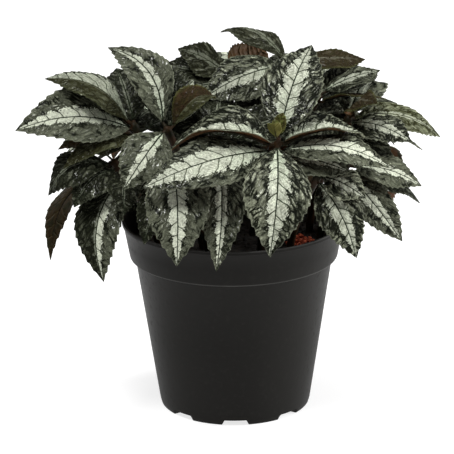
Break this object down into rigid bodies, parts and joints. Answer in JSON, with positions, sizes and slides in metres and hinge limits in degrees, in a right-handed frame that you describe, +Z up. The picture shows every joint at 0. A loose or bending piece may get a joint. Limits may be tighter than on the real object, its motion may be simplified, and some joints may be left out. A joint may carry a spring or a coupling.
{
  "type": "potted silver-leaved pilea",
  "caption": "Bushy foliage plant with toothed, silver-banded, quilted leaves on upright stems, growing in soil in a plain black nursery pot.",
  "frame": {"origin": "under the middle of the pot and of the whole outline's box, on the surface that the pot stands on", "axes": "+Z up along the pot's axis; -Y is the front of the plant; +X to the right seen from the front"},
  "size_m": [0.2255, 0.185, 0.2012],
  "materials": {
    "pot": "smooth satin black",
    "soil": "crumbly, damp, dark",
    "bark": "rough, rust red",
    "leafy_stem_front": "soft satin, quilted, dark green with a silver band",
    "leafy_stem_front_left": "soft satin, quilted, dark green with a silver band",
    "leafy_stem_left_front": "soft satin, quilted, dark green with a silver band",
    "leafy_stem_left": "soft satin, quilted, dark green with a silver band",
    "leafy_stem_low_left": "soft satin, quilted, dark green with a silver band",
    "leafy_stem_low_right": "soft satin, quilted, dark green with a silver band",
    "leafy_stem_right_front": "soft satin, quilted, dark green with a silver band",
    "leafy_stem_right": "soft satin, quilted, dark green with a silver band",
    "leafy_stem_top_right": "soft satin, quilted, dark green with a silver band",
    "leafy_stem_top": "soft satin, quilted, dark green with a silver band",
    "leafy_stem_top_left": "soft satin, quilted, dark green with a silver band",
    "leafy_stem_middle": "soft satin, quilted, dark green with a silver band",
    "leafy_stem_back_left": "soft satin, quilted, dark green with a silver band",
    "leafy_stem_back": "soft satin, quilted, dark green with a silver band",
    "leafy_stem_back_right": "soft satin, quilted, dark green with a silver band"
  },
  "bodies": {
    "root": {"pot": "pot", "potting_soil": "soil", "bark_chips": "bark", "leafy_stem_front": "leafy_stem_front", "leafy_stem_front_left": "leafy_stem_front_left", "leafy_stem_left_front": "leafy_stem_left_front", "leafy_stem_left": "leafy_stem_left", "leafy_stem_low_left": "leafy_stem_low_left", "leafy_stem_low_right": "leafy_stem_low_right", "leafy_stem_right_front": "leafy_stem_right_front", "leafy_stem_right": "leafy_stem_right", "leafy_stem_top_right": "leafy_stem_top_right", "leafy_stem_top": "leafy_stem_top", "leafy_stem_top_left": "leafy_stem_top_left", "leafy_stem_middle": "leafy_stem_middle", "leafy_stem_back_left": "leafy_stem_back_left", "leafy_stem_back": "leafy_stem_back", "leafy_stem_back_right": "leafy_stem_back_right"}
  },
  "joints": []
}
